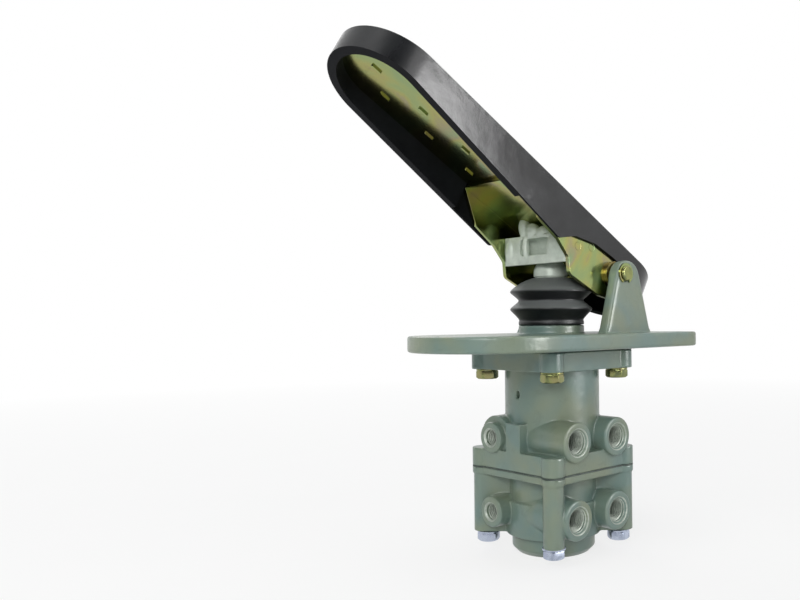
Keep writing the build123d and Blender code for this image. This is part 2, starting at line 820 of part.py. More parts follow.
# Upper casting: flange, cylinder, ports of the first circuit and the base flange
with BuildPart() as upper_body:
    with BuildSketch(Plane.XY.offset(flange_top)):
        add(flange_outline.sketch)
    extrude(amount=-flange_thick)
    with BuildSketch(Plane.XY.offset(parting_z)):
        add(flange_outline.sketch)
    extrude(amount=upper_base_top - parting_z)
    levels = upper_body.edges().group_by(Axis.Z)
    fillet(levels[0] + levels[-1], cast_edge_r / 2)
    with BuildSketch(Plane.XY.offset(flange_bottom + cast_overlap)):
        Circle(cylinder_r)
    extrude(amount=upper_base_top - flange_bottom - 2 * cast_overlap)
    with BuildSketch(Plane.YZ.offset(small_collar_face)):
        with Locations((small_port_offset, upper_port_z)):
            Circle(small_collar_r)
    extrude(amount=-small_collar_face)
    with BuildSketch(Plane.YZ.offset(flange_side / 2)):
        with Locations((pad_middle_y, upper_base_top + pad_height / 2)):
            Rectangle(pad_width, pad_height)
    extrude(amount=-flange_side / 2)
    port_bosses(upper_port_z)
    fillet(mouth_edges(upper_body, port_boss_r) + mouth_edges(upper_body, small_boss_r), cast_edge_r)
    with BuildSketch(Plane.XY.offset(flange_top)):
        Circle(upper_bore_r)
    extrude(amount=upper_floor - flange_top, mode=Mode.SUBTRACT)
    with BuildSketch(Plane.XY.offset(upper_floor)):
        Circle(seat_r)
    extrude(amount=-seat_web, mode=Mode.SUBTRACT)
    with BuildSketch(Plane.XY.offset(upper_floor - seat_web)):
        Circle(inlet_chamber_r)
    extrude(amount=parting_z - upper_floor + seat_web, mode=Mode.SUBTRACT)
    with BuildSketch(Plane.XY.offset(guide_flange_top)):
        Circle(valve_guide_flange_r + bore_gap)
    extrude(amount=parting_z - guide_flange_top, mode=Mode.SUBTRACT)
    with BuildSketch(Plane.XY.offset(guide_flange_bottom)):
        Circle(valve_guide_flange_r + bore_gap + circlip_bite)
    extrude(amount=-circlip_thick - circlip_slack, mode=Mode.SUBTRACT)
    large_port(port_offset, upper_port_z, upper_toe_drill_end)
    large_port(-port_offset, upper_port_z, upper_heel_drill_end)
    small_port(upper_port_z, upper_small_drill_end)
    chamfer(mouth_edges(upper_body, port_r), port_chamfer)
    chamfer(mouth_edges(upper_body, small_port_r), small_chamfer)
    passages(upper_floor, upper_port_z, upper_passages)
    with BuildSketch(Plane.YZ.offset(cylinder_r)):
        with Locations(Location((0, vent_z), 90)):
            SlotOverall(vent_length, vent_width)
    extrude(amount=upper_bore_r - cylinder_r - vent_past_wall, mode=Mode.SUBTRACT)
    with BuildSketch(Plane.XY.offset(flange_top)):
        with bolt_places:
            Circle(bolt_hole_r)
    extrude(amount=-flange_thick, mode=Mode.SUBTRACT)
    with BuildSketch(Plane.XY.offset(parting_z)):
        with bolt_places:
            Circle(thread_hole_r)
    extrude(amount=body_bolt_in_flange + bolt_hole_spare, mode=Mode.SUBTRACT)
save(upper_body.part, "upper_body")

# Joint between the castings
with BuildPart() as body_gasket:
    with BuildSketch(Plane.XY.offset(parting_z)):
        add(flange_outline.sketch)
        Circle(relay_bore_r, mode=Mode.SUBTRACT)
        with bolt_places:
            Circle(bolt_hole_r, mode=Mode.SUBTRACT)
    extrude(amount=-body_gasket_thick)
save(body_gasket.part, "body_gasket")

# Lower casting: flange, waist, drum with the second circuit's ports, four columns and the tail
with BuildPart() as lower_body:
    with BuildSketch(Plane.XY.offset(lower_top)):
        add(flange_outline.sketch)
    extrude(amount=-lower_flange_thick)
    fillet(lower_body.edges().group_by(Axis.Z)[0], cast_edge_r)
    with BuildSketch(Plane.XY.offset(lower_top - lower_flange_thick / 2)):
        Circle(waist_r)
    extrude(amount=drum_top - lower_top)
    with BuildSketch(Plane.XY.offset(drum_top)):
        Circle(drum_r)
    extrude(amount=drum_bottom - drum_top)
    with BuildSketch(Plane.XY.offset(lower_top - lower_flange_thick / 2)):
        with PolarLocations((column_inner_r + column_outer_r) / 2, 4, start_angle=45):
            SlotOverall(column_outer_r - column_inner_r, column_width)
    extrude(amount=column_bottom - lower_top + lower_flange_thick / 2)
    with BuildSketch(Plane.XY.offset(drum_bottom + cast_overlap)):
        Circle(tail_r)
    extrude(amount=tail_bottom - drum_bottom - cast_overlap)
    chamfer(lower_body.faces().sort_by(Axis.Z)[0].edges(), tail_chamfer)
    port_bosses(lower_port_z)
    fillet(mouth_edges(lower_body, port_boss_r) + mouth_edges(lower_body, small_boss_r), cast_edge_r)
    with BuildSketch(Plane.XY.offset(lower_top)):
        Circle(relay_bore_r)
    extrude(amount=relay_floor - lower_top, mode=Mode.SUBTRACT)
    with BuildSketch(Plane.XY.offset(relay_floor)):
        Circle(seat_r)
    extrude(amount=-seat_web, mode=Mode.SUBTRACT)
    with BuildSketch(Plane.XY.offset(relay_floor - seat_web)):
        Circle(outlet_chamber_r)
    extrude(amount=outlet_chamber_bottom - relay_floor + seat_web, mode=Mode.SUBTRACT)
    with BuildSketch(Plane.XY.offset(outlet_chamber_bottom)):
        Circle(exhaust_bore_r)
    extrude(amount=tail_bottom - outlet_chamber_bottom, mode=Mode.SUBTRACT)
    with BuildSketch(Plane.XY.offset(exhaust_plate_bottom)):
        Circle(exhaust_bore_r + circlip_bite)
    extrude(amount=-circlip_thick - circlip_slack, mode=Mode.SUBTRACT)
    large_port(port_offset, lower_port_z, lower_toe_drill_end)
    large_port(-port_offset, lower_port_z, lower_heel_drill_end)
    small_port(lower_port_z, lower_small_drill_end)
    chamfer(mouth_edges(lower_body, port_r), port_chamfer)
    chamfer(mouth_edges(lower_body, small_port_r), small_chamfer)
    passages(relay_floor, lower_port_z, lower_passages)
    with BuildSketch(Plane.XY.offset(lower_top)):
        with bolt_places:
            Circle(bolt_hole_r)
    extrude(amount=column_bottom - lower_top, mode=Mode.SUBTRACT)
save(lower_body.part, "lower_body")


def hex_bolts(name, head_top, shank_top):
    """Four hexagon bolts, heads down, whose heads meet their washers at head_top."""
    with BuildPart() as bolts:
        with BuildSketch(Plane.XY.offset(head_top)):
            with bolt_places:
                RegularPolygon(bolt_across_flats / 2, 6, major_radius=False)
        extrude(amount=-bolt_head)
        with BuildSketch(Plane.XY.offset(head_top)):
            with bolt_places:
                Circle(bolt_d / 2)
        extrude(amount=shank_top - head_top)
        chamfer(bolts.edges().group_by(Axis.Z)[-1], bolt_end_chamfer)
        chamfer(bolts.edges().group_by(Axis.Z)[0], bolt_head_chamfer)
    save(bolts.part, name)


def washers(name, top):
    """Four washers under the bolts' heads."""
    with BuildPart() as rings:
        with BuildSketch(Plane.XY.offset(top)):
            with bolt_places:
                Circle(washer_r)
                Circle(bolt_hole_r, mode=Mode.SUBTRACT)
        extrude(amount=-washer_thick)
    save(rings.part, name)


washers("flange_washers", flange_bottom)
hex_bolts("flange_bolts", flange_bottom - washer_thick, flange_bolt_in_plate)
washers("body_washers", column_bottom)
hex_bolts("body_bolts", column_bottom - washer_thick, parting_z + body_bolt_in_flange)


def piston(name, seal_name, top, thick, bore_r, recess, recess_outer, stem_bottom):
    """A grooved piston with a hollow stem that closes the exhaust, and the ring in its groove."""
    outer = bore_r - piston_gap
    groove_top = top - (thick - ring_groove_width) / 2
    with BuildPart() as body:
        with BuildSketch(Plane.XY.offset(top)):
            Circle(outer)
        extrude(amount=-thick)
        with BuildSketch(Plane.XY.offset(top - thick)):
            Circle(recess_outer)
            Circle(spring_recess_inner, mode=Mode.SUBTRACT)
        extrude(amount=recess, mode=Mode.SUBTRACT)
        with BuildSketch(Plane.XY.offset(top - thick + cast_overlap)):
            Circle(piston_stem_r)
        extrude(amount=stem_bottom - top + thick - cast_overlap)
        with BuildSketch(Plane.XY.offset(top)):
            Circle(piston_bore_r)
        extrude(amount=stem_bottom - top, mode=Mode.SUBTRACT)
        with BuildSketch(Plane.XY.offset(groove_top)):
            Circle(outer + past)
            Circle(outer - ring_groove_depth, mode=Mode.SUBTRACT)
        extrude(amount=-ring_groove_width, mode=Mode.SUBTRACT)
    save(body.part, name)
    ring_r = (ring_groove_depth - ring_squeeze) / 2
    with BuildPart() as seal:
        with BuildSketch(Plane.XZ):
            with Locations((outer - ring_r, groove_top - ring_groove_width / 2)):
                Circle(ring_r)
        revolve(axis=Axis.Z)
    save(seal.part, seal_name)


def valve(name, top, radius, stem_bottom):
    """A valve disc on a hollow stem, through which the air leaves."""
    with BuildPart() as body:
        with BuildSketch(Plane.XY.offset(top)):
            Circle(radius)
        extrude(amount=-disc_thick)
        with BuildSketch(Plane.XY.offset(top)):
            Circle(valve_stem_r)
        extrude(amount=stem_bottom - top)
        with BuildSketch(Plane.XY.offset(top)):
            Circle(valve_stem_bore_r)
        extrude(amount=stem_bottom - top, mode=Mode.SUBTRACT)
    save(body.part, name)


def circlip(name, top, outer):
    """An internal retaining ring with a gap."""
    with BuildPart() as ring:
        with BuildSketch(Plane.XY.offset(top)):
            Circle(outer)
            Circle(outer - circlip_width, mode=Mode.SUBTRACT)
            with Locations((-outer, 0)):
                Rectangle(2 * (circlip_width + past), circlip_mouth, mode=Mode.SUBTRACT)
        extrude(amount=-circlip_thick)
    save(ring.part, name)


# First circuit
coil("graduating_spring", primary_top, cup_top - cup_thick, graduating_r, graduating_wire, graduating_turns)
piston(
    "primary_piston", "primary_piston_seal", primary_top, primary_thick, upper_bore_r,
    spring_recess, spring_recess_outer, primary_disc_top + exhaust_gap,
)
return_r = (spring_recess_inner + spring_recess_outer) / 2
primary_spring_top = primary_top - primary_thick + spring_recess
coil("primary_return_spring", upper_floor, primary_spring_top, return_r, return_wire, return_turns)
valve("primary_valve", primary_disc_top, disc_r, primary_stem_bottom)
primary_disc_under = primary_disc_top - disc_thick
coil(
    "primary_valve_spring", valve_guide_top, primary_disc_under,
    valve_spring_r, valve_wire, valve_spring_turns,
)
with BuildPart() as primary_valve_guide:
    with BuildSketch(Plane.XY.offset(valve_guide_top)):
        Circle(inlet_chamber_r - guide_boss_gap)
    extrude(amount=guide_flange_bottom - valve_guide_top)
    with BuildSketch(Plane.XY.offset(guide_flange_top)):
        Circle(valve_guide_flange_r)
    extrude(amount=-valve_guide_thick)
    with BuildSketch(Plane.XY.offset(valve_guide_top)):
        Circle(valve_stem_r + guide_gap)
    extrude(amount=guide_flange_bottom - valve_guide_top, mode=Mode.SUBTRACT)
save(primary_valve_guide.part, "primary_valve_guide")
circlip("primary_guide_ring", guide_flange_bottom - circlip_gap, valve_guide_flange_r + circlip_bite)

# Second circuit
piston(
    "relay_piston", "relay_piston_seal", relay_top, relay_thick, relay_bore_r,
    relay_recess, relay_recess_outer, secondary_disc_top + exhaust_gap,
)
relay_spring_r = (spring_recess_inner + relay_recess_outer) / 2
relay_spring_top = relay_top - relay_thick + relay_recess
coil("relay_return_spring", relay_floor, relay_spring_top, relay_spring_r, return_wire, return_turns)
valve("secondary_valve", secondary_disc_top, secondary_disc_r, secondary_stem_bottom)
secondary_disc_under = secondary_disc_top - disc_thick
coil(
    "secondary_valve_spring", exhaust_boss_top, secondary_disc_under,
    valve_spring_r, valve_wire, valve_spring_turns,
)

# Carrier that closes the second circuit below and guides its valve
with BuildPart() as exhaust_guide:
    with BuildSketch(Plane.XY.offset(exhaust_boss_top)):
        Circle(outlet_chamber_r - guide_boss_gap)
    extrude(amount=exhaust_guide_bottom - exhaust_boss_top)
    with BuildSketch(Plane.XY.offset(outlet_chamber_bottom)):
        Circle(exhaust_bore_r - bore_gap)
    extrude(amount=exhaust_guide_bottom - outlet_chamber_bottom)
    with BuildSketch(Plane.XY.offset(exhaust_boss_top)):
        Circle(valve_stem_r + guide_gap)
    extrude(amount=exhaust_guide_bottom - exhaust_boss_top, mode=Mode.SUBTRACT)
    with BuildSketch(Plane.XY.offset(exhaust_guide_bottom)):
        Circle(exhaust_cavity_r)
    extrude(amount=exhaust_cavity_depth, mode=Mode.SUBTRACT)
    with BuildSketch(Plane.XY.offset(exhaust_groove_top)):
        Circle(exhaust_bore_r + past)
        Circle(exhaust_bore_r - bore_gap - ring_groove_depth, mode=Mode.SUBTRACT)
    extrude(amount=-ring_groove_width, mode=Mode.SUBTRACT)
save(exhaust_guide.part, "exhaust_guide")

with BuildPart() as exhaust_guide_seal:
    seal_r = (ring_groove_depth - ring_squeeze) / 2
    with BuildSketch(Plane.XZ):
        with Locations((exhaust_bore_r - bore_gap - seal_r, exhaust_groove_top - ring_groove_width / 2)):
            Circle(seal_r)
    revolve(axis=Axis.Z)
save(exhaust_guide_seal.part, "exhaust_guide_seal")

# Holed plate, the ring that holds it, and the rubber flap with its screw
with BuildPart() as exhaust_plate:
    with BuildSketch(Plane.XY.offset(exhaust_guide_bottom)):
        Circle(exhaust_bore_r - bore_gap)
        with PolarLocations(exhaust_hole_circle_r, exhaust_hole_count):
            Circle(exhaust_hole_r, mode=Mode.SUBTRACT)
        Circle(flap_screw_r + running_gap, mode=Mode.SUBTRACT)
    extrude(amount=-exhaust_plate_thick)
save(exhaust_plate.part, "exhaust_plate")
circlip("retaining_ring", exhaust_plate_bottom - circlip_gap, exhaust_bore_r + circlip_bite - bore_gap)

with BuildPart() as exhaust_flap:
    with BuildSketch(Plane.XY.offset(exhaust_plate_bottom)):
        Circle(flap_r)
        Circle(flap_screw_r + running_gap, mode=Mode.SUBTRACT)
    extrude(amount=-flap_thick)
save(exhaust_flap.part, "exhaust_flap")

with BuildPart() as flap_screw:
    with BuildSketch(Plane.XY.offset(exhaust_plate_bottom - flap_thick)):
        Circle(flap_head_r)
    extrude(amount=-flap_head)
    fillet(flap_screw.faces().sort_by(Axis.Z)[0].edges(), flap_head_round)
    with BuildSketch(Plane.XY.offset(exhaust_plate_bottom - flap_thick)):
        Circle(flap_screw_r)
    extrude(amount=flap_thick + exhaust_plate_thick + flap_screw_end)
save(flap_screw.part, "flap_screw")
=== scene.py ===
import json
import math
import bpy
from mathutils import Matrix, Vector


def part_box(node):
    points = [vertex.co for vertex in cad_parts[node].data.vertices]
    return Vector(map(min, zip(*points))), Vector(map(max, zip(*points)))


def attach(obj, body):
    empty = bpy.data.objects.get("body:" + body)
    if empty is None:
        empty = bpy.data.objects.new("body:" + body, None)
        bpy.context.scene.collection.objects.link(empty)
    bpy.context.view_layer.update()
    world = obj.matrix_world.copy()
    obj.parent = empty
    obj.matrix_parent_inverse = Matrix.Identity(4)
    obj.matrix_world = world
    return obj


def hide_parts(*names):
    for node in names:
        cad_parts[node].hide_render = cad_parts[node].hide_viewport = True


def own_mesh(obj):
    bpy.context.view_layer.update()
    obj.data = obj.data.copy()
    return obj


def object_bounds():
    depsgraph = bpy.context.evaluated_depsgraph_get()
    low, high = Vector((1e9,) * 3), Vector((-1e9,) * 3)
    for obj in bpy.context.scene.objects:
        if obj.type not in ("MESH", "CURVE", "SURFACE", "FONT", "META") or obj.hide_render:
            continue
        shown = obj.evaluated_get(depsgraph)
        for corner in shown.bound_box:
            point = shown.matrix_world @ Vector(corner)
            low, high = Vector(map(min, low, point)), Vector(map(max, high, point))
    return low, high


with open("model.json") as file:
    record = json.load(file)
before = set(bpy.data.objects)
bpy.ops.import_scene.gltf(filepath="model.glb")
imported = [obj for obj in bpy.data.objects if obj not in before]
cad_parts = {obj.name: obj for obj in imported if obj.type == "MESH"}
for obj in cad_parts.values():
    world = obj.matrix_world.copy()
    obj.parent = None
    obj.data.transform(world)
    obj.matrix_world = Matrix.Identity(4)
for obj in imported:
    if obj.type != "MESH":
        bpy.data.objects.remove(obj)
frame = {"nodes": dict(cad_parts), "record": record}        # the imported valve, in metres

mm = 0.001
nodes = frame["nodes"]
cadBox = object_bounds()
slotOf = {part["node"]: part["material_slot"] for part in frame["record"]["subparts"]}
bodyOf = {node: body for body, members in frame["record"]["behaviour"]["bodies"].items() for node in members}
bpy.context.scene.view_settings.view_transform = "Standard"
print("stage: frame loaded,", len(nodes), "nodes")


# Camera, as it stood for the photograph: on the toe side of the large ports, level with the plate
cameraSetup = {
    "azimuth": 44.91, "distance": 528.0, "height": 17.98, "pitch": -0.87, "roll": -0.62,
    "focalPixels": 786.3, "centreX": 551.2, "centreY": 309.7, "frameWidth": 800, "frameHeight": 600,
    "sensor": 36.0,
}


def addCamera(setup):
    turn = math.radians(setup["azimuth"])
    pitch = math.radians(setup["pitch"])
    roll = math.radians(setup["roll"])
    outward = Vector((math.cos(turn), math.sin(turn), 0))
    right = Vector((-math.sin(turn), math.cos(turn), 0))
    up = Vector((0, 0, 1))
    back = outward * math.cos(pitch) + up * math.sin(pitch)
    above = up * math.cos(pitch) - outward * math.sin(pitch)
    across = right * math.cos(roll) + above * math.sin(roll)
    above = above * math.cos(roll) - right * math.sin(roll)
    data = bpy.data.cameras.new("photoCamera")
    data.sensor_width = setup["sensor"]
    data.lens = setup["focalPixels"] * setup["sensor"] / setup["frameWidth"]
    data.shift_x = (setup["frameWidth"] / 2 - setup["centreX"]) / setup["frameWidth"]
    data.shift_y = (setup["centreY"] - setup["frameHeight"] / 2) / setup["frameWidth"]
    data.clip_start = 0.01
    data.clip_end = 100
    camera = bpy.data.objects.new("photoCamera", data)
    bpy.context.collection.objects.link(camera)
    place = (outward * setup["distance"] + up * setup["height"]) * mm
    camera.matrix_world = Matrix.Translation(place) @ Matrix((across, above, back)).transposed().to_4x4()
    bpy.context.scene.camera = camera


addCamera(cameraSetup)
print("stage: camera placed")


# A socket that can stand in a sum: each sign adds a Math node
class Wire:
    def __init__(self, tree, socket=None):
        self.tree = tree
        self.socket = socket

    def node(self, kind, settings=None, values=None, out=0):
        made = self.tree.nodes.new("ShaderNode" + kind)
        for key, value in (settings or {}).items():
            if key == "stops":
                ramp = made.color_ramp
                while len(ramp.elements) < len(value):
                    ramp.elements.new(0.5)
                for stop, (place, colour) in zip(ramp.elements, value):
                    stop.position = place
                    stop.color = (*colour, 1)
            else:
                setattr(made, key, value)
        for key, value in (values or {}).items():
            if isinstance(value, Wire):
                self.tree.links.new(value.socket, made.inputs[key])
            else:
                made.inputs[key].default_value = value
        return Wire(self.tree, made.outputs[out] if made.outputs else None)

    def sum(self, operation, first, second):
        return self.node("Math", {"operation": operation}, {0: first, 1: second})

    def __add__(self, other):
        return self.sum("ADD", self, other)

    def __radd__(self, other):
        return self.sum("ADD", other, self)

    def __sub__(self, other):
        return self.sum("SUBTRACT", self, other)

    def __rsub__(self, other):
        return self.sum("SUBTRACT", other, self)

    def __mul__(self, other):
        return self.sum("MULTIPLY", self, other)

    def __rmul__(self, other):
        return self.sum("MULTIPLY", other, self)

    def between(self, low, high):
        return self.node("MapRange", {"clamp": True}, {0: self, 1: low, 2: high})

    def mix(self, first, second):
        first = (*first, 1) if isinstance(first, tuple) else first
        second = (*second, 1) if isinstance(second, tuple) else second
        return self.node("Mix", {"data_type": "RGBA"}, {0: self, 6: first, 7: second}, out=2)

    def noise(self, size, detail=3.0, rough=0.5, warp=0.0, stretch=(1, 1, 1), turn=(0, 0, 0)):
        place = self.node("TexCoord", out=3)
        place = self.node("Mapping", {}, {0: place, 2: turn, 3: stretch})
        values = {"Vector": place, "Scale": 1 / (size * mm), "Detail": detail, "Roughness": rough, "Distortion": warp}
        return self.node("TexNoise", {}, values)

    def height(self, depth, signal):
        return self.node("Bump", {}, {"Strength": 1.0, "Distance": depth * mm, "Height": signal})


def startMaterial(name):
    material = bpy.data.materials.new(name)
    material.use_nodes = True
    material.node_tree.nodes.clear()
    return material, Wire(material.node_tree)


def closeMaterial(material, wire, colour, roughness, metallic=0.0, normal=None, fixed=None):
    values = {"Base Color": colour, "Roughness": roughness, "Metallic": metallic, **(fixed or {})}
    if normal:
        values["Normal"] = normal
    wire.node("OutputMaterial", {}, {"Surface": wire.node("BsdfPrincipled", {}, values)})
    return material


# Satin grey-green paint over castings: mottled, paler where edges have rubbed, with dark dirt patches and painted
# shade in the hollows
paintLook = {
    "cool": (0.150, 0.225, 0.200), "warm": (0.205, 0.245, 0.170), "rubbed": (0.40, 0.45, 0.38),
    "dirtAndShade": (0.070, 0.082, 0.070), "patchSize": 34, "dirtSize": 11, "grainSize": 1.3, "lumpSize": 6,
    "grainDepth": 0.045, "lumpDepth": 0.20, "roughLow": 0.25, "roughHigh": 0.38, "specular": 0.60,
}


def castPaint(look):
    material, wire = startMaterial("castPaint")
    patches = wire.noise(look["patchSize"], 2, 0.5, 0.4).between(0.38, 0.64)
    colour = patches.mix(look["cool"], look["warm"])
    edge = wire.node("NewGeometry", out=7)
    dirtAndShade = wire.noise(look["dirtSize"], 5, 0.65, 0.6).between(0.56, 0.78)
    # painted shade: hollows found by pointiness are darkened with the same dark colour as the dirt patches
    paintedHollowShade = 1 - edge.between(0.40, 0.49)
    colour = (dirtAndShade * 0.28 + paintedHollowShade * 0.5).mix(colour, look["dirtAndShade"])
    speckle = wire.noise(look["grainSize"] * 2.5, 2).between(0.35, 0.6)
    colour = (edge.between(0.53, 0.62) * (0.25 + speckle * 0.35)).mix(colour, look["rubbed"])
    grain = wire.noise(look["grainSize"], 3, 0.6)
    lumps = wire.noise(look["lumpSize"], 2, 0.5)
    roughness = look["roughLow"] + (look["roughHigh"] - look["roughLow"]) * grain
    relief = wire.height(1, grain * (look["grainDepth"]) + lumps * look["lumpDepth"])
    fixed = {"Specular IOR Level": look["specular"]}
    return closeMaterial(material, wire, colour, roughness + dirtAndShade * 0.15, 0.0, relief, fixed)


# Black moulded rubber, faintly dusty, with a fine mould grain; upward faces are paler, partly from settled dust and
# partly as painted top light
rubberLook = {
    "black": (0.0030, 0.0034, 0.0042), "worn": (0.009, 0.010, 0.012), "dustAndTopLight": (0.075, 0.085, 0.085),
    "patchSize": 26, "scuffSize": 7, "grainSize": 0.6, "grainDepth": 0.015, "rippleSize": 8, "rippleDepth": 0.09,
    "roughLow": 0.13, "roughHigh": 0.24, "specular": 0.50, "settledDustAndTopLight": 0.05, "topMatte": 0.34,
}


insideRubberLook = {
    **rubberLook, "black": (0.004, 0.0045, 0.006), "worn": (0.009, 0.010, 0.012), "roughLow": 0.5, "roughHigh": 0.7,
    "specular": 0.10,
}
# the boot's pale upward faces are partly settled dust and partly painted top light
bootRubberLook = {
    **rubberLook, "dustAndTopLight": (0.150, 0.162, 0.158), "roughLow": 0.34, "roughHigh": 0.50, "specular": 0.45, "settledDustAndTopLight": 0.95, "topMatte": 0.1,
}


def blackRubber(name, look):
    material, wire = startMaterial(name)
    patches = wire.noise(look["patchSize"], 4, 0.6, 0.5)
    colour = patches.between(0.35, 0.7).mix(look["black"], look["worn"])
    scuffs = wire.noise(look["scuffSize"], 6, 0.7, 1.0, (0.35, 1, 1), (0, math.radians(30), 0))
    dustAndTopLight = scuffs.between(0.62, 0.8) * patches.between(0.4, 0.7)
    # upward faces lightened: partly settled dust, partly painted top light
    upward = wire.node("SeparateXYZ", {}, {0: wire.node("TexCoord", out=1)}, out=2).between(0.1, 0.7)
    colour = (dustAndTopLight * 0.22 + upward * look["settledDustAndTopLight"] * (0.7 + patches * 0.4)).mix(colour, look["dustAndTopLight"])
    grain = wire.noise(look["grainSize"], 2)
    ripple = wire.noise(look["rippleSize"], 2)
    roughness = look["roughLow"] + (look["roughHigh"] - look["roughLow"]) * patches + dustAndTopLight * 0.25 + upward * look["topMatte"]
    relief = wire.height(1, grain * look["grainDepth"] + ripple * look["rippleDepth"])
    return closeMaterial(material, wire, colour, roughness, 0.0, relief, {"Specular IOR Level": look["specular"]})


# Passivated zinc: a thin film whose tint drifts over the sheet
def platedZinc(name, look):
    material, wire = startMaterial(name)
    drift = wire.noise(look["driftSize"], 2, 0.5, 1.2)
    fine = wire.noise(look["fineSize"], 4, 0.6)
    tint = wire.node("ValToRGB", {"stops": look["tints"]}, {0: drift * 0.92 + fine * 0.08})
    stain = wire.noise(look["driftSize"] * 0.4, 5, 0.7, 0.5).between(0.6, 0.82)
    colour = (stain * look["stained"]).mix(tint, look["stain"])
    lines = wire.noise(look["fineSize"], 2, 0.5, 0.0, (0.05, 1, 1), (0, math.radians(30), 0))
    roughness = look["roughLow"] + (look["roughHigh"] - look["roughLow"]) * fine + stain * 0.15
    relief = wire.height(1, lines * look["lineDepth"] + drift * look["waveDepth"])
    return closeMaterial(material, wire, colour, roughness, 1.0, relief)


zincLook = {
    "tints": [(0.30, (0.225, 0.300, 0.145)), (0.42, (0.250, 0.325, 0.150)), (0.50, (0.290, 0.340, 0.135)),
              (0.56, (0.340, 0.330, 0.115)), (0.61, (0.310, 0.280, 0.155)), (0.68, (0.240, 0.310, 0.165)),
              (0.80, (0.225, 0.300, 0.150))],
    "stain": (0.09, 0.075, 0.035), "stained": 0.35, "driftSize": 44, "fineSize": 2.2,
    "roughLow": 0.12, "roughHigh": 0.20, "lineDepth": 0.003, "waveDepth": 0.06,
}
yellowLook = {
    "tints": [(0.3, (0.14, 0.16, 0.08)), (0.45, (0.24, 0.26, 0.10)), (0.6, (0.28, 0.26, 0.12)), (0.75, (0.18, 0.21, 0.14))],
    "stain": (0.05, 0.045, 0.03), "stained": 0.6, "driftSize": 9, "fineSize": 0.8,
    "roughLow": 0.15, "roughHigh": 0.28, "lineDepth": 0.004, "waveDepth": 0.03,
}
blueLook = {
    "tints": [(0.3, (0.30, 0.34, 0.44)), (0.5, (0.50, 0.55, 0.66)), (0.7, (0.40, 0.44, 0.57))],
    "stain": (0.10, 0.10, 0.11), "stained": 0.5, "driftSize": 9, "fineSize": 0.8,
    "roughLow": 0.20, "roughHigh": 0.38, "lineDepth": 0.004, "waveDepth": 0.03,
}


# Bare metals, and the soft parts inside
def bareMetal(name, look):
    material, wire = startMaterial(name)
    patches = wire.noise(look["patchSize"], 4, 0.6, 0.4)
    colour = patches.between(0.35, 0.68).mix(look["dull"], look["bright"])
    pits = wire.noise(look["grainSize"], 3, 0.6)
    roughness = look["roughLow"] + (look["roughHigh"] - look["roughLow"]) * patches
    relief = wire.height(1, pits * look["pitDepth"] + patches * look["waveDepth"])
    return closeMaterial(material, wire, colour, roughness, look["metal"], relief)


aluminiumLook = {
    "dull": (0.47, 0.53, 0.46), "bright": (0.66, 0.72, 0.64), "metal": 0.25, "patchSize": 12, "grainSize": 1.0,
    "pitDepth": 0.07, "waveDepth": 0.35, "roughLow": 0.34, "roughHigh": 0.52,
}
steelLook = {
    "dull": (0.42, 0.42, 0.41), "bright": (0.62, 0.62, 0.61), "metal": 1.0, "patchSize": 8, "grainSize": 0.5,
    "pitDepth": 0.01, "waveDepth": 0.01, "roughLow": 0.16, "roughHigh": 0.30,
}
springLook = {
    "dull": (0.10, 0.11, 0.13), "bright": (0.26, 0.27, 0.29), "metal": 1.0, "patchSize": 6, "grainSize": 0.4,
    "pitDepth": 0.01, "waveDepth": 0.01, "roughLow": 0.30, "roughHigh": 0.45,
}
bronzeLook = {
    "dull": (0.28, 0.21, 0.08), "bright": (0.46, 0.38, 0.17), "metal": 1.0, "patchSize": 7, "grainSize": 0.5,
    "pitDepth": 0.015, "waveDepth": 0.02, "roughLow": 0.26, "roughHigh": 0.42,
}
threadLook = {
    "dull": (0.30, 0.34, 0.29), "bright": (0.52, 0.57, 0.50), "metal": 0.2, "patchSize": 5, "grainSize": 0.6,
    "pitDepth": 0.02, "waveDepth": 0.02, "roughLow": 0.32, "roughHigh": 0.48,
}
valveRubberLook = {
    "dull": (0.012, 0.012, 0.014), "bright": (0.045, 0.045, 0.047), "metal": 0.0, "patchSize": 6, "grainSize": 0.5,
    "pitDepth": 0.02, "waveDepth": 0.03, "roughLow": 0.45, "roughHigh": 0.62,
}
sealLook = {
    "dull": (0.008, 0.008, 0.009), "bright": (0.02, 0.02, 0.022), "metal": 0.0, "patchSize": 5, "grainSize": 0.4,
    "pitDepth": 0.01, "waveDepth": 0.01, "roughLow": 0.28, "roughHigh": 0.42,
}
gasketLook = {
    "dull": (0.014, 0.017, 0.017), "bright": (0.04, 0.046, 0.044), "metal": 0.0, "patchSize": 4, "grainSize": 0.5,
    "pitDepth": 0.06, "waveDepth": 0.05, "roughLow": 0.65, "roughHigh": 0.85,
}
paintedGasketLook = {
    "dull": (0.050, 0.068, 0.058), "bright": (0.11, 0.14, 0.118), "metal": 0.0, "patchSize": 7, "grainSize": 0.7,
    "pitDepth": 0.06, "waveDepth": 0.08, "roughLow": 0.5, "roughHigh": 0.7,
}
finishes = {
    "cast_paint": castPaint(paintLook),
    "black_rubber": blackRubber("blackRubber", rubberLook),
    "zinc_plate": platedZinc("zincPlate", zincLook),
    "yellow_zinc": platedZinc("yellowZinc", yellowLook),
    "blue_zinc": platedZinc("blueZinc", blueLook),
    "cast_aluminium": bareMetal("castAluminium", aluminiumLook),
    "bright_steel": bareMetal("brightSteel", steelLook),
    "spring_steel": bareMetal("springSteel", springLook),
    "bronze": bareMetal("bronze", bronzeLook),
    "valve_rubber": bareMetal("valveRubber", valveRubberLook),
    "seal_rubber": bareMetal("sealRubber", sealLook),
    "gasket_sheet": bareMetal("gasketSheet", gasketLook),
}
threadFinish = bareMetal("cutThread", threadLook)
bootFinish = blackRubber("bootRubber", bootRubberLook)
insideFinish = blackRubber("insideRubber", insideRubberLook)


